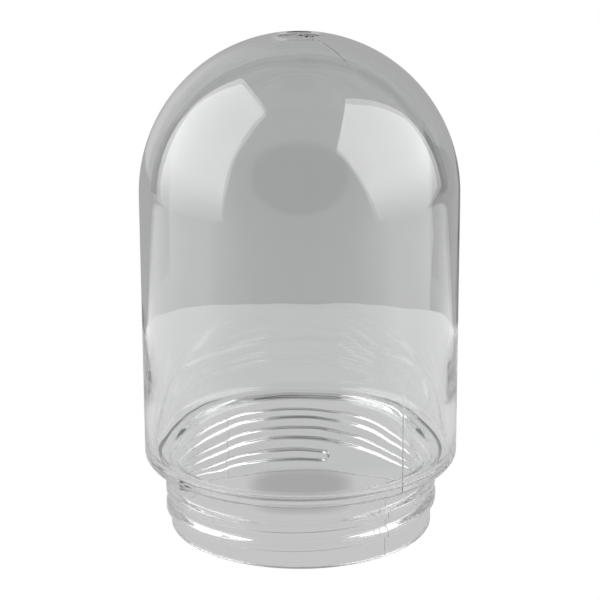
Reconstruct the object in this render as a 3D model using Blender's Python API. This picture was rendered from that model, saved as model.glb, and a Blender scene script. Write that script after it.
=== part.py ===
"""Clear threaded globe, blow moulded in one piece and open at its threaded neck.

The moulding is made as four zones that meet at small gaps: threaded_neck, shoulder_ledge, barrel_wall
and dome_crown. They are one rigid piece on the real object. Each zone is a turned wall, so that the
hollow inside stays open from the neck's mouth to the crown.

Units are metres, +Z up. The origin is the centre of the neck's rim, the face that the globe stands on.
"""

import math

import bmesh
import bpy

# Driving dimensions
OVERALL_HEIGHT = 0.1490
THREAD_CREST_RADIUS = 0.04125
NECK_RADIUS = 0.0398
NECK_WALL = 0.0021
NECK_HEIGHT = 0.0210
BODY_RADIUS_LOW = 0.0473
DOME_RADIUS = 0.0470
BODY_WALL = 0.0018
FOOT_WALL = 0.00275
LEDGE_THICKNESS = 0.0024
ZONE_GAP = 0.0003
SEAT_STEP = 0.0002

# Thread: one right-hand bead with a flat top, and a steeper flank below than above. Angles are degrees
# counter-clockwise seen from above, with 0 at +X. The bead climbs from its low end to its high end.
THREAD_PITCH = 0.0058
THREAD_FLAT = 0.0015
THREAD_UPPER_FLANK = 0.0015
THREAD_LOWER_FLANK = 0.0010
THREAD_END_LENGTH = 0.0021
THREAD_LOW_END_ANGLE = 79.0
THREAD_HIGH_END_ANGLE = 930.0
THREAD_LOW_END_HEIGHT = 0.0040

# Edges and corners
RIM_CHAMFER = 0.0003
SHOULDER_OUTER_CORNER = 0.0024
LEDGE_INNER_CORNER = 0.0030
MOUTH_CORNER = 0.0029
CROWN_WALL = 0.0022

# Heights up the wall: where one zone ends and the next begins, and where the thick foot thins out
LEDGE_ZONE_TOP = 0.0272
FOOT_WALL_TOP = 0.0370
THIN_WALL_START = 0.0640
DOME_CENTRE_HEIGHT = OVERALL_HEIGHT - DOME_RADIUS

# Fineness of the turned walls
SEGMENTS = 64
NECK_ROWS = 27
CORNER_STEPS = 4
THINNING_STEPS = 4
DOME_STEPS = 10
WALL_COLOUR = (0.80, 0.82, 0.82, 1.0)
WALL_ROUGHNESS = 0.06
WALL_IOR = 1.58


def clear_scene():
    """Remove what the scene holds, so that only the globe is in it."""
    for item in list(bpy.data.objects):
        bpy.data.objects.remove(item, do_unlink=True)


def clear_plastic(name):
    """Clear glossy plastic for one zone."""
    material = bpy.data.materials.new(name)
    material.use_nodes = True
    shader = material.node_tree.nodes["Principled BSDF"]
    shader.inputs["Base Color"].default_value = WALL_COLOUR
    shader.inputs["Roughness"].default_value = WALL_ROUGHNESS
    shader.inputs["Metallic"].default_value = 0.0
    shader.inputs["IOR"].default_value = WALL_IOR
    shader.inputs["Transmission Weight"].default_value = 1.0
    return material


def arc(centre_radius, centre_height, radius, first, last, steps):
    """Profile points (radius, height) on a quarter arc or less, from angle first to last in degrees."""
    points = []
    for step in range(steps + 1):
        angle = math.radians(first + (last - first) * step / steps)
        points.append((centre_radius + radius * math.cos(angle), centre_height + radius * math.sin(angle)))
    return points


def smooth_step(value):
    """0 below 0, 1 above 1, with an eased rise between."""
    value = min(max(value, 0.0), 1.0)
    return value * value * (3.0 - 2.0 * value)


def thread_height(angle, height):
    """How far the bead stands out of the neck at this angle (degrees) and height."""
    crest = THREAD_CREST_RADIUS - NECK_RADIUS
    end_length = math.degrees(THREAD_END_LENGTH / NECK_RADIUS)
    best = 0.0
    turns = int(THREAD_HIGH_END_ANGLE // 360.0) + 1
    for turn in range(turns):
        along = angle + 360.0 * turn
        middle = THREAD_LOW_END_HEIGHT + THREAD_PITCH * (along - THREAD_LOW_END_ANGLE) / 360.0
        flank = THREAD_UPPER_FLANK if height > middle else THREAD_LOWER_FLANK
        away = abs(height - middle) - 0.5 * THREAD_FLAT
        low_end = smooth_step((along - THREAD_LOW_END_ANGLE) / end_length)
        high_end = smooth_step((THREAD_HIGH_END_ANGLE - along) / end_length)
        bead = smooth_step(1.0 - away / flank)
        best = max(best, crest * bead * low_end * high_end)
    return best


def finish_mesh(name, bm):
    """Turn a bmesh into a smooth-shaded object with its own material."""
    bmesh.ops.recalc_face_normals(bm, faces=bm.faces)
    mesh = bpy.data.meshes.new(name)
    bm.to_mesh(mesh)
    bm.free()
    mesh.materials.append(clear_plastic(name + "_plastic"))
    mesh.shade_smooth()
    mesh.set_sharp_from_angle(angle=math.radians(35.0))
    item = bpy.data.objects.new(name, mesh)
    bpy.context.scene.collection.objects.link(item)
    return item


def turned_grid(bm, profile, stand_out=None):
    """Rings of vertices, one for each profile point, with stand_out added to the radius."""
    rings = []
    for radius, height in profile:
        ring = []
        for segment in range(SEGMENTS):
            degrees = 360.0 * segment / SEGMENTS
            extra = stand_out(degrees, height) if stand_out else 0.0
            reach = radius + extra
            turn = math.radians(degrees)
            ring.append(bm.verts.new((reach * math.cos(turn), reach * math.sin(turn), height)))
        rings.append(ring)
    return rings


def bridge_rings(bm, rings):
    """Faces between each ring and the next."""
    for lower, upper in zip(rings, rings[1:]):
        for segment in range(SEGMENTS):
            after = (segment + 1) % SEGMENTS
            bm.faces.new((lower[segment], lower[after], upper[after], upper[segment]))


def turned_ring(name, profile):
    """A closed ring of revolution from a closed profile loop."""
    bm = bmesh.new()
    rings = turned_grid(bm, profile)
    bridge_rings(bm, rings + [rings[0]])
    return finish_mesh(name, bm)


def make_threaded_neck():
    """The neck from its rim to just under the shoulder, with the thread bead on its outside."""
    top = NECK_HEIGHT - ZONE_GAP
    inner = NECK_RADIUS - NECK_WALL
    outer_wall = []
    for row in range(NECK_ROWS + 1):
        height = RIM_CHAMFER + (top - RIM_CHAMFER) * row / NECK_ROWS
        outer_wall.append((NECK_RADIUS, height))
    bm = bmesh.new()
    outside = turned_grid(bm, outer_wall, thread_height)
    inside = turned_grid(bm, [(inner, top), (inner, RIM_CHAMFER)])
    rim = turned_grid(bm, [(inner + RIM_CHAMFER, 0.0), (NECK_RADIUS - RIM_CHAMFER, 0.0)])
    rings = outside + inside + rim
    bridge_rings(bm, rings + [rings[0]])
    return finish_mesh("threaded_neck", bm)


def make_shoulder_ledge():
    """The ring that steps out from the neck to the body: a flat ledge with an upturned foot of wall.

    Its underside is a flat seat outside the thread's crest, and a hair higher inside it.
    """
    outer = BODY_RADIUS_LOW
    inner = BODY_RADIUS_LOW - FOOT_WALL
    mouth = NECK_RADIUS - NECK_WALL
    bottom = NECK_HEIGHT
    top = NECK_HEIGHT + LEDGE_THICKNESS
    corner = SHOULDER_OUTER_CORNER
    inside_corner = LEDGE_INNER_CORNER
    seat_start = THREAD_CREST_RADIUS + ZONE_GAP
    profile = [(mouth, bottom + SEAT_STEP), (THREAD_CREST_RADIUS, bottom + SEAT_STEP), (seat_start, bottom)]
    profile += arc(outer - corner, bottom + corner, corner, -90.0, 0.0, CORNER_STEPS)
    profile += [(outer, LEDGE_ZONE_TOP), (inner, LEDGE_ZONE_TOP)]
    profile += arc(inner - inside_corner, top + inside_corner, inside_corner, 0.0, -90.0, CORNER_STEPS)
    drop = LEDGE_THICKNESS - SEAT_STEP
    for step in range(CORNER_STEPS):
        turn = math.radians(90.0 + 90.0 * step / CORNER_STEPS)
        radius = mouth + MOUTH_CORNER + MOUTH_CORNER * math.cos(turn)
        profile.append((radius, top - drop + drop * math.sin(turn)))
    return turned_ring("shoulder_ledge", profile)


def outer_wall_radius(height):
    """Radius of the body's outside at this height: a slight taper from the ledge zone to the dome."""
    share = (height - LEDGE_ZONE_TOP) / (DOME_CENTRE_HEIGHT - LEDGE_ZONE_TOP)
    return BODY_RADIUS_LOW + (DOME_RADIUS - BODY_RADIUS_LOW) * share


def make_barrel_wall():
    """The nearly straight wall of the body, from the ledge zone to the foot of the dome.

    Outside it is one plain taper. Inside it is thick at its foot and thins out on the way up.
    """
    bottom = LEDGE_ZONE_TOP + ZONE_GAP
    top = DOME_CENTRE_HEIGHT - ZONE_GAP
    profile = [(outer_wall_radius(bottom), bottom), (outer_wall_radius(top), top)]
    profile.append((outer_wall_radius(top) - BODY_WALL, top))
    for step in range(THINNING_STEPS + 1):
        share = step / THINNING_STEPS
        height = THIN_WALL_START + (FOOT_WALL_TOP - THIN_WALL_START) * share
        wall = BODY_WALL + (FOOT_WALL - BODY_WALL) * smooth_step(share)
        profile.append((outer_wall_radius(height) - wall, height))
    profile.append((outer_wall_radius(bottom) - FOOT_WALL, bottom))
    return turned_ring("barrel_wall", profile)


def make_dome_crown():
    """The half-round crown, open underneath, a little thicker at its pole than at its foot."""
    inner_width = DOME_RADIUS - BODY_WALL
    inner_height = DOME_RADIUS - CROWN_WALL
    foot = DOME_CENTRE_HEIGHT
    outer_profile = []
    inner_profile = []
    for step in range(DOME_STEPS):
        turn = math.radians(90.0 * step / DOME_STEPS)
        outer_profile.append((DOME_RADIUS * math.cos(turn), foot + DOME_RADIUS * math.sin(turn)))
        inner_profile.append((inner_width * math.cos(turn), foot + inner_height * math.sin(turn)))
    bm = bmesh.new()
    outside = turned_grid(bm, outer_profile)
    inside = turned_grid(bm, inner_profile)
    bridge_rings(bm, outside)
    bridge_rings(bm, inside)
    bridge_rings(bm, [inside[0], outside[0]])
    for rings, height in ((outside, DOME_RADIUS), (inside, inner_height)):
        pole = bm.verts.new((0.0, 0.0, foot + height))
        last = rings[-1]
        for segment in range(SEGMENTS):
            bm.faces.new((last[segment], last[(segment + 1) % SEGMENTS], pole))
    return finish_mesh("dome_crown", bm)


clear_scene()
make_threaded_neck()
make_shoulder_ledge()
make_barrel_wall()
make_dome_crown()
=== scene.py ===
"""Looks of the clear threaded dome: one continuous blow-moulded wall in clear plastic, in a pale studio.

Metres, +Z up. The dome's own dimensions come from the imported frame's boxes.
"""

import bisect
import functools
import math

import bpy
from mathutils import Euler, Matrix, Quaternion, Vector, noise


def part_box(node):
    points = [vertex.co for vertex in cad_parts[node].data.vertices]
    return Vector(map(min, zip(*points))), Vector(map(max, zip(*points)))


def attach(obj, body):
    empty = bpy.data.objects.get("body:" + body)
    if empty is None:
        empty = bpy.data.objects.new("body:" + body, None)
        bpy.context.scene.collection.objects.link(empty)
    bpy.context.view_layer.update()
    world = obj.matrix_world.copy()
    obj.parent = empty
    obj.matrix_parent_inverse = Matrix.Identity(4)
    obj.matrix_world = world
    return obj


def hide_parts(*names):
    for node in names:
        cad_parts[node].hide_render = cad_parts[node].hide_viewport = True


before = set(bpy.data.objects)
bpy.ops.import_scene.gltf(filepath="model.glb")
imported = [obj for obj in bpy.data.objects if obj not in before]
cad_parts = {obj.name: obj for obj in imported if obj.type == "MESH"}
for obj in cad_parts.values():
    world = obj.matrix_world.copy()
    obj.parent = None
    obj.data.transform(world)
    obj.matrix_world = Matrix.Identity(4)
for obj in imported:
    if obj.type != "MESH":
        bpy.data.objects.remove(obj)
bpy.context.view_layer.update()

MM = 0.001

# ---------------------------------------------------------------- dimensions read from the frame
neck_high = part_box("threaded_neck")[1]
wall_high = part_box("barrel_wall")[1]
crown_low, crown_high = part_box("dome_crown")
ledge_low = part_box("shoulder_ledge")[0]
HEIGHT = crown_high[2]
DOME_RADIUS = crown_high[0]
DOME_CENTRE = crown_low[2]
WALL_RADIUS = wall_high[0]
SHOULDER = ledge_low[2]
CREST_RADIUS = neck_high[0]

# ---------------------------------------------------------------- dimensions of the moulding
NECK_RADIUS = 39.8 * MM
NECK_WALL = 2.1 * MM
BODY_WALL = 1.8 * MM
FOOT_WALL_EXTRA = 0.95 * MM
FOOT_WALL_LOW = 37.0 * MM
FOOT_WALL_HIGH = 64.0 * MM
FOOT_WALL_START = 0.85
FOOT_WALL_RUN = 0.05
CROWN_WALL = 2.3 * MM
DIMPLE_RADIUS = 8.2 * MM
DIMPLE_FLAT_RADIUS = 4.5 * MM
DIMPLE_DEPTH = 0.7 * MM
SCAR_MIDDLE = 3.4 * MM
SCAR_HALF_LENGTH = 2.8 * MM
SCAR_HALF_WIDTH = 1.3 * MM
SCAR_HEIGHT = 0.5 * MM
SCAR_FADE_START = 0.5
SCAR_FADE_END = 1.6
SCAR_GRAIN = 0.5 * MM
SCAR_LUMP = 1.1 * MM
WELD_END_RADIUS = 22.0 * MM
WELD_FADE_START = 2.0 * MM
WELD_FADE_END = 6.0 * MM
WELD_DEPTH = 0.16 * MM
WELD_HALF_WIDTH = 0.17 * MM
WALL_WAVE = 0.07 * MM
WALL_WAVE_SIZE = 17.0 * MM
FINE_WAVE_SHARE = 0.35
FINE_WAVE_TIMES = 2.7
WAVE_START_RUN = 3.0 * MM
LEDGE_THICKNESS = 2.4 * MM
SHOULDER_CORNER = 2.4 * MM
INNER_CORNER = 3.0 * MM
MOUTH_RUN = 2.9 * MM
MOUTH_DROP = 2.9 * MM
NECK_FILLET = 0.7 * MM
RIM_ROUND = 0.12 * MM

# Angles round the axis are in degrees, counter-clockwise seen from above, with 0 at +X and 270 in front.
THREAD_PITCH = 5.8 * MM
THREAD_FLAT = 1.5 * MM
THREAD_UPPER_FLANK = 1.5 * MM
THREAD_LOWER_FLANK = 1.0 * MM
THREAD_LOW_ANGLE = 79.0
THREAD_HIGH_ANGLE = 930.0
THREAD_LOW_HEIGHT = 4.0 * MM
THREAD_END_REACH = 9.0 * MM
THREAD_FOOT_RUN = 0.5 * MM

PARTING_ANGLES = (-52.0, 128.0)
PARTING_HEIGHT = 0.16 * MM
PARTING_HALF_WIDTH = 0.24 * MM
PARTING_FRONT_FADE_START = 36.0 * MM
PARTING_FRONT_FADE = 26.0 * MM
PARTING_BACK_FADE = 4.0 * MM
PARTING_LEAST_RADIUS = 5.0 * MM
MOULD_STEP = 0.18 * MM
MOULD_STEP_DEGREES = 0.4

# ---------------------------------------------------------------- fineness of the mesh
# The shares are places across a parting line, and the clearance is beside it, both in half widths.
EVEN_STEPS = 216
LINE_SHARES = (-2.0, -1.4, -1.0, -0.66, -0.33, 0.0, 0.33, 0.66, 1.0, 1.4, 2.0)
LINE_CLEARANCE = 2.5
CROWD_STEPS = 210
CROWD_DENSITY = 5.0
CROWD_REACH = 4.0 * MM
CROWD_FLANK_SHARE = 0.6
RIM_STEPS = 4
NECK_STEPS = 120
NECK_FILLET_STEPS = 5
UNDERSIDE_STEPS = 6
SHOULDER_STEPS = 12
WALL_STEPS = 20
DOME_STEPS = 50
CROWN_STEPS = 36
CROWN_START = 78.0
INNER_DOME_STEPS = 60
INNER_CORNER_STEPS = 8
LEDGE_STEPS = 8
MOUTH_STEPS = 14
BORE_STEPS = 34

# ---------------------------------------------------------------- the plastic
PLASTIC_COLOUR = (0.97, 0.975, 0.975, 1.0)
PLASTIC_IOR = 1.58
LEAST_HAZE = 0.004
MOST_HAZE = 0.010
SCUFF_ROUGHNESS = 0.010
MATT_RIM_ROUGHNESS = 0.25
MATT_RIM_FULL = 0.02 * MM
MATT_RIM_END = 0.14 * MM
STREAK_SHARE = 0.10
BUMP_DISTANCE = 0.012 * MM

# ---------------------------------------------------------------- the camera
CAMERA_DISTANCE = 0.550
CAMERA_TILT = 16.4
CAMERA_AIM = 0.06912
CAMERA_ROLL = -0.25
CAMERA_SENSOR = 36.0
CAMERA_LENS = 110.6
LIGHT_BOUNCES = 32

# ---------------------------------------------------------------- the stage
# The camera sees only a white floor and a white world. The plastic reflects and bends everything else.
# Directions are azimuth and elevation in degrees from LOOK_HEIGHT on the axis. Glows are strengths.
LOOK_HEIGHT = 0.12
AROUND = 0.41
FLOOR_RADIUS = 8.0
FLOOR_HEIGHT = -0.0005

TABLE_HEIGHT = -0.00002
TABLE_EDGE_BEHIND = 0.214
TABLE_EDGE_FRONT = 0.60
# The table is a glowing card of painted light, brightest at its sides where the softboxes light it.
TABLE_PAINTED_LIGHT_BEHIND = 0.57
TABLE_PAINTED_LIGHT_BESIDE = 1.0
TABLE_FAR_FRONT_SHARE = 0.72
LEAST_AHEAD = 0.09
# Painted shade: a ring on the table under the rim and a soft patch inside the neck.
UNDER_RIM_PAINTED_SHADE = 0.9
RIM_SHADE_START = 37.9 * MM
RIM_SHADE_FULL = 38.4 * MM
RIM_SHADE_FULL_END = 39.2 * MM
PATCH_PAINTED_SHADE = 0.34
PATCH_HALF_WIDTH = 18.0 * MM
PATCH_HALF_LENGTH = 21.0 * MM
PATCH_MIDDLE = 21.0 * MM

SOFTBOX_STRENGTH = 2.85
SOFTBOX_LOW_SHARE = 0.40
SOFTBOX_LOW = -0.08
SOFTBOX_EVEN = 0.32
LEFT_BOX = [(-54.0, -12.0, 0.95), (-117.0, -10.0, 0.95), (-129.0, 55.0, 1.3), (-52.0, 65.0, 1.4)]
RIGHT_BOX = [
    (56.0, -12.0, 0.95), (83.0, -14.0, 0.95), (117.0, -5.0, 0.95), (113.0, 31.0, 1.0), (85.0, 64.0, 1.3),
    (32.0, 39.5, 1.1),
]

CAMERA_SIDE_GLOW = 0.02
CAMERA_SIDE_DISTANCE = 0.9
CAMERA_SIDE_HALF_WIDTH = 40.0
CAMERA_SIDE_MIDDLE = 22.0
CAMERA_SIDE_HALF_HEIGHT = 28.0

GAP_GLOW = 0.05
GAP_DISTANCE = 1.6
LEFT_GAP_HALF_WIDTH = 4.0
RIGHT_GAP_HALF_WIDTH = 6.0
LEFT_GAP = [(-124.0, -8.0), (-125.0, 7.0), (-128.0, 26.0), (-142.0, 47.0), (-160.0, 56.0), (-180.0, 60.0)]
RIGHT_GAP = [
    (122.0, -8.0), (121.0, 6.0), (121.0, 20.0), (127.0, 35.0), (142.0, 48.0), (160.0, 56.0), (180.0, 60.0),
]

BACK_DISTANCE = 1.8
BACK_LEFT_STRIPS = 14
BACK_LEFT_START = -131.0
BACK_LEFT_SPAN = 49.0
BACK_LEFT_BOTTOM = -6.0
BACK_LEFT_TOP = 52.0
BACK_LEFT_TOP_DROP = 30.0
BACK_LEFT_EXTRA = 0.17
BACK_LEFT_FADE = 22.0
BACK_LEFT_FADE_END = -178.0
BACK_RIGHT = [(156.0, -8.0), (156.0, -30.0), (170.0, -30.0), (170.0, -8.0)]
BACK_RIGHT_GLOW = 0.25


def eased(value):
    """0 below 0, 1 above 1, with a smooth rise between."""
    value = min(max(value, 0.0), 1.0)
    return value * value * (3.0 - 2.0 * value)


def arc(centre_r, centre_z, radius_r, radius_z, first, last, steps):
    """Profile points on an elliptical arc from angle first to last, in degrees."""
    points = []
    for step in range(steps + 1):
        turn = math.radians(first + (last - first) * step / steps)
        points.append((centre_r + radius_r * math.cos(turn), centre_z + radius_z * math.sin(turn)))
    return points


def round_arc(centre_r, centre_z, radius, first, last, steps):
    """Profile points on a round arc from angle first to last, in degrees."""
    return arc(centre_r, centre_z, radius, radius, first, last, steps)


def run(first, last, steps):
    """Profile points on a straight run, without its two ends."""
    points = []
    for step in range(1, steps):
        share = step / steps
        points.append((first[0] + (last[0] - first[0]) * share, first[1] + (last[1] - first[1]) * share))
    return points


def thread_middles(angle):
    """Each turn of the thread at this angle: its height, and the arc by which it runs past its end."""
    middles = []
    for turn in range(-1, int(THREAD_HIGH_ANGLE // 360) + 2):
        along = angle % 360.0 + 360.0 * turn
        on_thread = min(max(along, THREAD_LOW_ANGLE), THREAD_HIGH_ANGLE)
        past = math.radians(along - on_thread) * NECK_RADIUS
        if abs(past) < THREAD_END_REACH:
            middle = THREAD_LOW_HEIGHT + THREAD_PITCH * (on_thread - THREAD_LOW_ANGLE) / 360.0
            middles.append((middle + MOULD_STEP * mould_half(angle), past))
    return middles


def bead(angle, height):
    """Share of the thread's full height at this angle in degrees and this height."""
    best = 0.0
    for middle, past in thread_middles(angle):
        flank = THREAD_UPPER_FLANK if height > middle else THREAD_LOWER_FLANK
        away = math.hypot(height - middle, past) - 0.5 * THREAD_FLAT
        best = max(best, eased(1.0 - away / flank))
    return best


@functools.lru_cache(maxsize=None)
def crowding(angle):
    """Running total of how closely the neck's rings lie at this angle: closer on the thread's flanks."""
    total = 0.0
    totals = [0.0]
    for step in range(CROWD_STEPS):
        height = SHOULDER * (step + 0.5) / CROWD_STEPS
        density = 1.0
        for middle, past in thread_middles(angle):
            near_thread = math.exp(-((past / CROWD_REACH) ** 2))
            for side, flank in ((1.0, THREAD_UPPER_FLANK), (-1.0, THREAD_LOWER_FLANK)):
                edge = middle + side * 0.5 * (THREAD_FLAT + flank)
                off = (height - edge) / (CROWD_FLANK_SHARE * flank)
                density += CROWD_DENSITY * near_thread * math.exp(-(off ** 2))
        total += density
        totals.append(total)
    return totals


def crowded_share(angle, height):
    """Share of the running total reached at this height."""
    totals = crowding(angle)
    place = CROWD_STEPS * height / SHOULDER
    step = min(int(place), CROWD_STEPS - 1)
    return (totals[step] + (totals[step + 1] - totals[step]) * (place - step)) / totals[-1]


def crowded(share, angle):
    """The height at which this share of the running total is reached."""
    totals = crowding(angle)
    wanted = totals[-1] * share
    step = min(bisect.bisect_right(totals, wanted), CROWD_STEPS) - 1
    part = (wanted - totals[step]) / (totals[step + 1] - totals[step])
    return SHOULDER * (step + part) / CROWD_STEPS


def mould_half(angle):
    """1 on one half of the mould and 0 on the other, with a short run between them."""
    away = (angle - PARTING_ANGLES[0]) % 360.0
    if away >= 180.0:
        return 0.0
    return eased(away / MOULD_STEP_DEGREES) * eased((180.0 - away) / MOULD_STEP_DEGREES)


def from_parting(angle):
    """Degrees from this angle to the nearer of the two parting lines."""
    return min(abs((angle - line + 180.0) % 360.0 - 180.0) for line in PARTING_ANGLES)


def parting_lift(radius, height, angle):
    """How far a parting line stands out. It ends part way up the wall in front, and on the neck behind."""
    half_width = math.degrees(PARTING_HALF_WIDTH / max(radius, PARTING_LEAST_RADIUS))
    lift = PARTING_HEIGHT * (1.0 - eased(from_parting(angle) / half_width))
    if height < RIM_ROUND * 1.5:
        return 0.0
    if angle > 180.0:
        return lift * (1.0 - eased((height - PARTING_FRONT_FADE_START) / PARTING_FRONT_FADE))
    return lift * (1.0 - eased((height - SHOULDER + PARTING_BACK_FADE) / PARTING_BACK_FADE))


def outer_profile():
    """Points from the rim's outer edge up to the crown: (radius, height)."""
    rim = round_arc(NECK_RADIUS - RIM_ROUND, RIM_ROUND, RIM_ROUND, -90.0, 0.0, RIM_STEPS)
    fillet_r = NECK_RADIUS + NECK_FILLET
    fillet = round_arc(fillet_r, SHOULDER - NECK_FILLET, NECK_FILLET, 180.0, 90.0, NECK_FILLET_STEPS)
    corner_r = WALL_RADIUS - SHOULDER_CORNER
    corner = round_arc(corner_r, SHOULDER + SHOULDER_CORNER, SHOULDER_CORNER, -90.0, 0.0, SHOULDER_STEPS)
    rise = HEIGHT - DOME_CENTRE
    dome = arc(0.0, DOME_CENTRE, DOME_RADIUS, rise, 0.0, CROWN_START, DOME_STEPS)
    crown = arc(0.0, DOME_CENTRE, DOME_RADIUS, rise, CROWN_START, 90.0, CROWN_STEPS)
    points = rim + run(rim[-1], fillet[0], NECK_STEPS) + fillet
    points += run(fillet[-1], corner[0], UNDERSIDE_STEPS) + corner
    points += run(corner[-1], dome[0], WALL_STEPS) + dome + crown[1:-1]
    return points


def inner_profile():
    """Points from the crown down inside to the rim's inner edge: (radius, height)."""
    rise = HEIGHT - DOME_CENTRE - CROWN_WALL
    dome = arc(0.0, DOME_CENTRE, DOME_RADIUS - BODY_WALL, rise, 90.0, 0.0, INNER_DOME_STEPS)
    inner = WALL_RADIUS - BODY_WALL
    top = SHOULDER + LEDGE_THICKNESS
    corner_r = inner - INNER_CORNER
    corner = round_arc(corner_r, top + INNER_CORNER, INNER_CORNER, 0.0, -90.0, INNER_CORNER_STEPS)
    bore = NECK_RADIUS - NECK_WALL
    mouth = arc(bore + MOUTH_RUN, top - MOUTH_DROP, MOUTH_RUN, MOUTH_DROP, 90.0, 180.0, MOUTH_STEPS)
    rim = round_arc(bore + RIM_ROUND, RIM_ROUND, RIM_ROUND, 180.0, 270.0, RIM_STEPS)
    points = dome[1:] + run(dome[-1], corner[0], WALL_STEPS) + corner
    points += run(corner[-1], mouth[0], LEDGE_STEPS) + mouth
    points += run(mouth[-1], rim[0], BORE_STEPS) + rim
    return points


def ring_angles():
    """Angles round the axis in degrees: even steps, with finer ones at the parting lines."""
    angles = []
    half_width = math.degrees(PARTING_HALF_WIDTH / WALL_RADIUS)
    for step in range(EVEN_STEPS):
        angle = 360.0 * step / EVEN_STEPS
        if from_parting(angle) > LINE_CLEARANCE * half_width:
            angles.append(angle)
    for line in PARTING_ANGLES:
        for share in LINE_SHARES:
            angles.append((line + half_width * share) % 360.0)
    return sorted(angles)


def along_parting(radius, angle):
    """Distances along and across the parting plane of a point at this radius and angle."""
    turn = math.radians(angle - PARTING_ANGLES[0])
    return radius * math.cos(turn), radius * math.sin(turn)


def crown_relief(radius, angle):
    """Height added to the crown outside: a shallow dimple with the broken ridge of the pinch-off."""
    rise = eased((radius - DIMPLE_FLAT_RADIUS) / (DIMPLE_RADIUS - DIMPLE_FLAT_RADIUS))
    relief = -DIMPLE_DEPTH * (1.0 - rise)
    along, across = along_parting(radius, angle)
    reach = math.hypot((along - SCAR_MIDDLE) / SCAR_HALF_LENGTH, across / SCAR_HALF_WIDTH)
    if reach < SCAR_FADE_END:
        rough = noise.noise(Vector((along / SCAR_GRAIN, across / SCAR_GRAIN, 3.7)))
        lumps = noise.noise(Vector((along / SCAR_LUMP, across / SCAR_LUMP, 8.1)))
        fade = 1.0 - eased((reach - SCAR_FADE_START) / (SCAR_FADE_END - SCAR_FADE_START))
        relief += SCAR_HEIGHT * fade * (0.5 + 1.3 * lumps + 1.2 * rough)
    return relief


def weld_groove(radius, angle):
    """Depth of the weld line inside the crown, on the front half of the parting plane."""
    along, across = along_parting(radius, angle)
    if along <= 0.0:
        return 0.0
    side = 1.0 - min(abs(across) / WELD_HALF_WIDTH, 1.0)
    ends = eased((WELD_END_RADIUS - along) / WELD_FADE_END) * eased(along / WELD_FADE_START)
    return WELD_DEPTH * side * ends


def wall_wave(radius, height, angle):
    """Slow unevenness of the blown wall's thickness."""
    turn = math.radians(angle)
    place = Vector((radius * math.cos(turn), radius * math.sin(turn), 0.6 * height)) / WALL_WAVE_SIZE
    fine = FINE_WAVE_SHARE * WALL_WAVE * noise.noise(place * FINE_WAVE_TIMES)
    return WALL_WAVE * noise.noise(place) + fine


def crowded_height(height, angle):
    """Height on the neck moved to where the rings lie closer. The neck's two ends stay where they are."""
    first = RIM_ROUND
    last = SHOULDER - NECK_FILLET
    if not first < height < last:
        return height
    bottom = crowded_share(angle, first)
    top = crowded_share(angle, last)
    return crowded(bottom + (top - bottom) * (height - first) / (last - first), angle)


def outer_point(radius, height, angle):
    """A point of the outer surface, with thread, parting line and crown dimple."""
    if height < SHOULDER:
        near_neck = 1.0 - eased((radius - NECK_RADIUS) / THREAD_FOOT_RUN)
        height = crowded_height(height, angle)
        radius += (CREST_RADIUS - NECK_RADIUS) * bead(angle, height) * near_neck
    lift = parting_lift(radius, height, angle)
    if height > DOME_CENTRE and radius < DIMPLE_RADIUS:
        height += crown_relief(radius, angle)
    return radius + lift, height


def inner_point(radius, height, angle):
    """A point of the inner surface, with the wall's slight unevenness."""
    wave = wall_wave(radius, height, angle)
    if height > DOME_CENTRE:
        slope = math.atan2(height - DOME_CENTRE, radius)
        wave -= weld_groove(radius, angle)
        return radius - wave * math.cos(slope), height - wave * math.sin(slope)
    if height > SHOULDER + LEDGE_THICKNESS:
        radius -= wave * eased((height - SHOULDER - LEDGE_THICKNESS) / WAVE_START_RUN)
        on_wall = eased((radius / WALL_RADIUS - FOOT_WALL_START) / FOOT_WALL_RUN)
        thicker = 1.0 - eased((height - FOOT_WALL_LOW) / (FOOT_WALL_HIGH - FOOT_WALL_LOW))
        radius -= FOOT_WALL_EXTRA * thicker * on_wall
    return radius, height


def add_ring(mesh_points, angles, radius, height, shaped):
    """Append one ring of vertices and give back its first index."""
    first = len(mesh_points)
    for angle in angles:
        r, z = shaped(radius, height, angle)
        turn = math.radians(angle)
        mesh_points.append((r * math.cos(turn), r * math.sin(turn), z))
    return first


def globe_mesh():
    """The whole moulding as one closed wall."""
    angles = ring_angles()
    count = len(angles)
    points = []
    faces = []
    starts = []
    for radius, height in outer_profile():
        starts.append(add_ring(points, angles, radius, height, outer_point))
    outer_last = len(starts) - 1
    for radius, height in inner_profile():
        starts.append(add_ring(points, angles, radius, height, inner_point))

    def band(lower, upper):
        for step in range(count):
            after = (step + 1) % count
            faces.append((lower + step, lower + after, upper + after, upper + step))

    for index in range(len(starts) - 1):
        if index != outer_last:
            band(starts[index], starts[index + 1])
    band(starts[-1], starts[0])
    for ring, height, outward in (
        (starts[outer_last], HEIGHT, True),
        (starts[outer_last + 1], HEIGHT - CROWN_WALL, False),
    ):
        pole = len(points)
        points.append((0.0, 0.0, height))
        for step in range(count):
            after = (step + 1) % count
            if outward:
                faces.append((ring + step, ring + after, pole))
            else:
                faces.append((ring + after, ring + step, pole))
    mesh = bpy.data.meshes.new("globe_moulding")
    mesh.from_pydata(points, [], faces)
    mesh.validate()
    mesh.shade_smooth()
    return mesh


def spread(tree, value, first, last, low, high):
    """A node that turns value from first to last into low to high, smoothly and without running past."""
    node = tree.nodes.new("ShaderNodeMapRange")
    node.interpolation_type = "SMOOTHSTEP"
    node.inputs["From Min"].default_value = first
    node.inputs["From Max"].default_value = last
    node.inputs["To Min"].default_value = low
    node.inputs["To Max"].default_value = high
    tree.links.new(value, node.inputs["Value"])
    return node.outputs["Result"]


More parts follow.
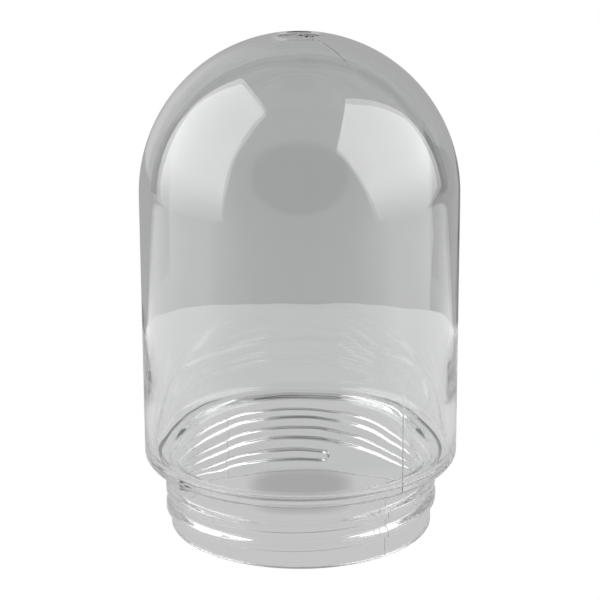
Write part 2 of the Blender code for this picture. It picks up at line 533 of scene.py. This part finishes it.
def combine(tree, operation, first, second):
    """A maths node on two values, each a socket or a number."""
    node = tree.nodes.new("ShaderNodeMath")
    node.operation = operation
    for index, value in enumerate((first, second)):
        if isinstance(value, (int, float)):
            node.inputs[index].default_value = value
        else:
            tree.links.new(value, node.inputs[index])
    return node.outputs["Value"]


def grain(tree, place, scale, stretch, detail):
    """A noise pattern laid out in the object's own metres, stretched along each axis."""
    mapping = tree.nodes.new("ShaderNodeMapping")
    mapping.inputs["Scale"].default_value = stretch
    tree.links.new(place, mapping.inputs["Vector"])
    pattern = tree.nodes.new("ShaderNodeTexNoise")
    pattern.inputs["Scale"].default_value = scale
    pattern.inputs["Detail"].default_value = detail
    tree.links.new(mapping.outputs["Vector"], pattern.inputs["Vector"])
    return pattern.outputs["Fac"]


def clear_plastic():
    """Clear moulded plastic: fine flow marks up the wall, light haze and scuffs, a matt cut rim."""
    material = bpy.data.materials.new("clear_plastic")
    material.use_nodes = True
    tree = material.node_tree
    shader = tree.nodes["Principled BSDF"]
    shader.inputs["Base Color"].default_value = PLASTIC_COLOUR
    shader.inputs["IOR"].default_value = PLASTIC_IOR
    shader.inputs["Transmission Weight"].default_value = 1.0
    place = tree.nodes.new("ShaderNodeTexCoord").outputs["Object"]
    apart = tree.nodes.new("ShaderNodeSeparateXYZ")
    tree.links.new(place, apart.inputs["Vector"])

    clouds = grain(tree, place, 60.0, (1.0, 1.0, 1.0), 3.0)
    haze = spread(tree, clouds, 0.35, 0.75, LEAST_HAZE, MOST_HAZE)
    specks = grain(tree, place, 900.0, (1.0, 1.0, 0.12), 2.0)
    scuffs = spread(tree, specks, 0.66, 0.74, 0.0, SCUFF_ROUGHNESS)
    rim = spread(tree, apart.outputs["Z"], MATT_RIM_FULL, MATT_RIM_END, MATT_RIM_ROUGHNESS, 0.0)
    roughness = combine(tree, "ADD", combine(tree, "ADD", haze, scuffs), rim)
    tree.links.new(roughness, shader.inputs["Roughness"])

    streaks = grain(tree, place, 420.0, (1.0, 1.0, 0.02), 2.0)
    ripples = grain(tree, place, 70.0, (1.0, 1.0, 1.0), 1.0)
    relief = combine(tree, "ADD", combine(tree, "MULTIPLY", streaks, STREAK_SHARE), ripples)
    bump = tree.nodes.new("ShaderNodeBump")
    bump.inputs["Distance"].default_value = BUMP_DISTANCE
    bump.inputs["Strength"].default_value = 1.0
    tree.links.new(relief, bump.inputs["Height"])
    tree.links.new(bump.outputs["Normal"], shader.inputs["Normal"])
    return material


def emitter(name, strength):
    """A plain white glowing material for a stage card."""
    material = bpy.data.materials.new(name)
    material.use_nodes = True
    nodes = material.node_tree.nodes
    nodes.clear()
    glow = nodes.new("ShaderNodeEmission")
    glow.inputs["Color"].default_value = (1.0, 1.0, 1.0, 1.0)
    glow.inputs["Strength"].default_value = strength
    out = nodes.new("ShaderNodeOutputMaterial")
    material.node_tree.links.new(glow.outputs[0], out.inputs["Surface"])
    return material


def axes_of(tree, coordinates):
    """The X, Y and Z sockets of the texture coordinates with this name."""
    apart = tree.nodes.new("ShaderNodeSeparateXYZ")
    tree.links.new(tree.nodes.new("ShaderNodeTexCoord").outputs[coordinates], apart.inputs["Vector"])
    return apart.outputs["X"], apart.outputs["Y"], apart.outputs["Z"]


def set_glow(material, strength):
    """Let a node's value set a glowing material's strength."""
    tree = material.node_tree
    tree.links.new(strength, tree.nodes["Emission"].inputs["Strength"])


def card(name, corners, material, camera, others):
    """A flat stage card from its corners, seen by the camera, by the other rays, or by both."""
    mesh = bpy.data.meshes.new(name)
    mesh.from_pydata([tuple(corner) for corner in corners], [], [tuple(range(len(corners)))])
    item = bpy.data.objects.new(name, mesh)
    bpy.context.scene.collection.objects.link(item)
    mesh.materials.append(material)
    item.visible_camera = camera
    item.visible_glossy = others
    item.visible_transmission = others
    item.visible_diffuse = others
    item.visible_shadow = False
    return item


def toward(azimuth, elevation, distance):
    """A point seen from the dome's axis at look height. Azimuth 0 faces the camera, + is to the right."""
    around = math.radians(azimuth)
    up = math.radians(elevation)
    flat = distance * math.cos(up)
    return Vector((flat * math.sin(around), -flat * math.cos(around), LOOK_HEIGHT + distance * math.sin(up)))


def disc(radius, height, steps):
    """Corners of a flat round card."""
    corners = []
    for step in range(steps):
        turn = 2.0 * math.pi * step / steps
        corners.append((radius * math.cos(turn), radius * math.sin(turn), height))
    return corners


def table_painted_light(tree, x, y):
    """The table's painted light: most at the sides, less in front and behind, and least far in front."""
    ahead = combine(tree, "MAXIMUM", combine(tree, "SUBTRACT", 0.0, y), LEAST_AHEAD)
    sideways = combine(tree, "DIVIDE", combine(tree, "ABSOLUTE", x, 0.0), ahead)
    lit = spread(tree, sideways, 0.5, 2.3, TABLE_PAINTED_LIGHT_BEHIND, TABLE_PAINTED_LIGHT_BESIDE)
    close = spread(tree, y, -0.30, -0.06, 0.0, 1.0)
    beside = spread(tree, sideways, 0.8, 2.5, 0.0, 1.0)
    near = combine(tree, "MAXIMUM", close, beside)
    return combine(tree, "MULTIPLY", lit, spread(tree, near, 0.0, 1.0, TABLE_FAR_FRONT_SHARE, 1.0))


def table_painted_shade(tree, x, y):
    """Painted shade on the table: a ring under the rim and a soft patch inside the neck."""
    squares = combine(tree, "ADD", combine(tree, "MULTIPLY", x, x), combine(tree, "MULTIPLY", y, y))
    radius = combine(tree, "SQRT", squares, 0.0)
    inside = spread(tree, radius, RIM_SHADE_START, RIM_SHADE_FULL, 0.0, 1.0)
    outside = spread(tree, radius, RIM_SHADE_FULL_END, NECK_RADIUS, 1.0, 0.0)
    under_rim = combine(tree, "MULTIPLY", inside, outside)
    across = combine(tree, "DIVIDE", x, PATCH_HALF_WIDTH)
    across = combine(tree, "POWER", combine(tree, "ABSOLUTE", across, 0.0), 3.0)
    along = combine(tree, "DIVIDE", combine(tree, "SUBTRACT", y, PATCH_MIDDLE), PATCH_HALF_LENGTH)
    along = combine(tree, "POWER", combine(tree, "ABSOLUTE", along, 0.0), 3.0)
    patch = spread(tree, combine(tree, "ADD", across, along), 0.15, 1.2, PATCH_PAINTED_SHADE, 0.0)
    return combine(tree, "MAXIMUM", combine(tree, "MULTIPLY", under_rim, UNDER_RIM_PAINTED_SHADE), patch)


def table_material():
    """The pale table as the plastic shows it: painted light, brighter at its sides, and painted shade under
    the rim and inside.
    """
    material = emitter("table_painted_glow", 1.0)
    tree = material.node_tree
    x, y, _ = axes_of(tree, "Object")
    left_over = combine(tree, "SUBTRACT", 1.0, table_painted_shade(tree, x, y))
    set_glow(material, combine(tree, "MULTIPLY", table_painted_light(tree, x, y), left_over))
    return material


def softbox_material(name):
    """A softbox's cloth: even above, weaker towards its lower edge."""
    material = emitter(name, SOFTBOX_STRENGTH)
    tree = material.node_tree
    height = axes_of(tree, "Object")[2]
    low = SOFTBOX_LOW_SHARE * SOFTBOX_STRENGTH
    set_glow(material, spread(tree, height, SOFTBOX_LOW, SOFTBOX_EVEN, low, SOFTBOX_STRENGTH))
    return material


def camera_side_material():
    """The unlit room behind the camera, fading into its surroundings at the edge."""
    material = emitter("camera_side_dark", 1.0)
    tree = material.node_tree
    across, _, up = axes_of(tree, "Generated")
    reach = 0.0
    for place in (across, up):
        away = combine(tree, "SUBTRACT", place, 0.5)
        reach = combine(tree, "ADD", combine(tree, "MULTIPLY", away, away), reach)
    set_glow(material, spread(tree, reach, 0.14, 0.25, CAMERA_SIDE_GLOW, AROUND))
    return material


def table_outline(steps):
    """Corners of the table: its far edge is close behind the dome, and it reaches further at the front."""
    corners = []
    for step in range(steps):
        turn = 2.0 * math.pi * step / steps
        share = eased(3.0 * (0.75 - math.sin(turn)))
        reach = TABLE_EDGE_BEHIND + (TABLE_EDGE_FRONT - TABLE_EDGE_BEHIND) * share
        corners.append((reach * math.cos(turn), reach * math.sin(turn), TABLE_HEIGHT))
    return corners


def strip(name, path, half_width):
    """A row of narrow dark cards along a path of directions, widened in azimuth and elevation."""
    middle = [Vector(direction) for direction in path]
    for index, (first, last) in enumerate(zip(middle, middle[1:])):
        ahead = (last - first).normalized()
        side = Vector((-ahead.y, ahead.x)) * half_width
        ends = (first + side, last + side, last - side, first - side)
        corners = [toward(end.x, end.y, GAP_DISTANCE) for end in ends]
        card(f"{name}_{index}", corners, emitter(f"{name}_{index}_grey", GAP_GLOW), False, True)


def softboxes():
    """The two large softboxes, one on each side."""
    for name, corners in (("softbox_left", LEFT_BOX), ("softbox_right", RIGHT_BOX)):
        places = [toward(azimuth, elevation, distance) for azimuth, elevation, distance in corners]
        card(name, places, softbox_material(name + "_glow"), False, True)


def camera_side():
    """The dark oval behind the camera."""
    corners = []
    for step in range(32):
        turn = 2.0 * math.pi * step / 32
        azimuth = CAMERA_SIDE_HALF_WIDTH * math.cos(turn)
        elevation = CAMERA_SIDE_MIDDLE + CAMERA_SIDE_HALF_HEIGHT * math.sin(turn)
        corners.append(toward(azimuth, elevation, CAMERA_SIDE_DISTANCE))
    card("camera_side", corners, camera_side_material(), False, True)


def back_left_top(azimuth):
    """Elevation of the back left cards' upper edge: low beside the softbox, higher straight behind."""
    share = (180.0 + azimuth) / BACK_LEFT_SPAN
    return BACK_LEFT_TOP - BACK_LEFT_TOP_DROP * share ** 1.5


def back_left():
    """Pale cards from the left softbox to straight behind the dome, where they fade into the surroundings."""
    for step in range(BACK_LEFT_STRIPS):
        first = BACK_LEFT_START - BACK_LEFT_SPAN * step / BACK_LEFT_STRIPS
        last = BACK_LEFT_START - BACK_LEFT_SPAN * (step + 1) / BACK_LEFT_STRIPS
        directions = [
            (first, BACK_LEFT_BOTTOM),
            (first, back_left_top(first)),
            (last, back_left_top(last)),
            (last, BACK_LEFT_BOTTOM),
        ]
        corners = [toward(azimuth, elevation, BACK_DISTANCE) for azimuth, elevation in directions]
        strength = AROUND + BACK_LEFT_EXTRA * eased((last - BACK_LEFT_FADE_END) / BACK_LEFT_FADE)
        card(f"back_left_{step}", corners, emitter(f"back_left_{step}_grey", strength), False, True)


def back_right():
    """A low dim card behind on the right."""
    corners = [toward(azimuth, elevation, BACK_DISTANCE) for azimuth, elevation in BACK_RIGHT]
    card("back_right", corners, emitter("back_right_grey", BACK_RIGHT_GLOW), False, True)


def studio_world():
    """A world that is white to the camera and grey to every other ray."""
    world = bpy.data.worlds.new("studio")
    bpy.context.scene.world = world
    world.use_nodes = True
    tree = world.node_tree
    tree.nodes.clear()
    rays = tree.nodes.new("ShaderNodeLightPath")
    seen = tree.nodes.new("ShaderNodeBackground")
    seen.inputs["Color"].default_value = (1.0, 1.0, 1.0, 1.0)
    around = tree.nodes.new("ShaderNodeBackground")
    around.inputs["Color"].default_value = (AROUND, AROUND, AROUND, 1.0)
    mix = tree.nodes.new("ShaderNodeMixShader")
    out = tree.nodes.new("ShaderNodeOutputWorld")
    tree.links.new(rays.outputs["Is Camera Ray"], mix.inputs[0])
    tree.links.new(around.outputs[0], mix.inputs[1])
    tree.links.new(seen.outputs[0], mix.inputs[2])
    tree.links.new(mix.outputs[0], out.inputs["Surface"])


def photo_camera():
    """The camera at the photograph's viewing angle."""
    camera_data = bpy.data.cameras.new("camera")
    camera_data.sensor_width = CAMERA_SENSOR
    camera_data.lens = CAMERA_LENS
    camera = bpy.data.objects.new("camera", camera_data)
    bpy.context.scene.collection.objects.link(camera)
    tilt = math.radians(CAMERA_TILT)
    back = CAMERA_DISTANCE * math.cos(tilt)
    camera.location = (0.0, -back, CAMERA_AIM + CAMERA_DISTANCE * math.sin(tilt))
    camera.rotation_mode = "QUATERNION"
    aim = Euler((math.radians(90.0 - CAMERA_TILT), 0.0, 0.0)).to_quaternion()
    camera.rotation_quaternion = aim @ Quaternion((0.0, 0.0, 1.0), math.radians(CAMERA_ROLL))
    bpy.context.scene.camera = camera


# ---------------------------------------------------------------- camera and colours
photo_camera()
bpy.context.scene.view_settings.view_transform = "Standard"

# Light crosses the clear wall many times in the thread and the ledge, and goes black when it is cut short
bpy.context.scene.cycles.max_bounces = LIGHT_BOUNCES
bpy.context.scene.cycles.transmission_bounces = LIGHT_BOUNCES
bpy.context.scene.cycles.glossy_bounces = LIGHT_BOUNCES

# ---------------------------------------------------------------- the dome
globe = bpy.data.objects.new("globe_moulding", globe_mesh())
globe.data.materials.append(clear_plastic())
bpy.context.scene.collection.objects.link(globe)
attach(globe, "root")
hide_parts("dome_crown", "barrel_wall", "shoulder_ledge", "threaded_neck")

# ---------------------------------------------------------------- the stage
card("floor", disc(FLOOR_RADIUS, FLOOR_HEIGHT, 64), emitter("floor_white", 1.0), True, False)
# A glowing card with painted light and painted shade, seen only through the plastic.
card("table", table_outline(96), table_material(), False, True)
softboxes()
camera_side()
strip("gap_left", LEFT_GAP, LEFT_GAP_HALF_WIDTH)
strip("gap_right", RIGHT_GAP, RIGHT_GAP_HALF_WIDTH)
back_left()
back_right()
studio_world()
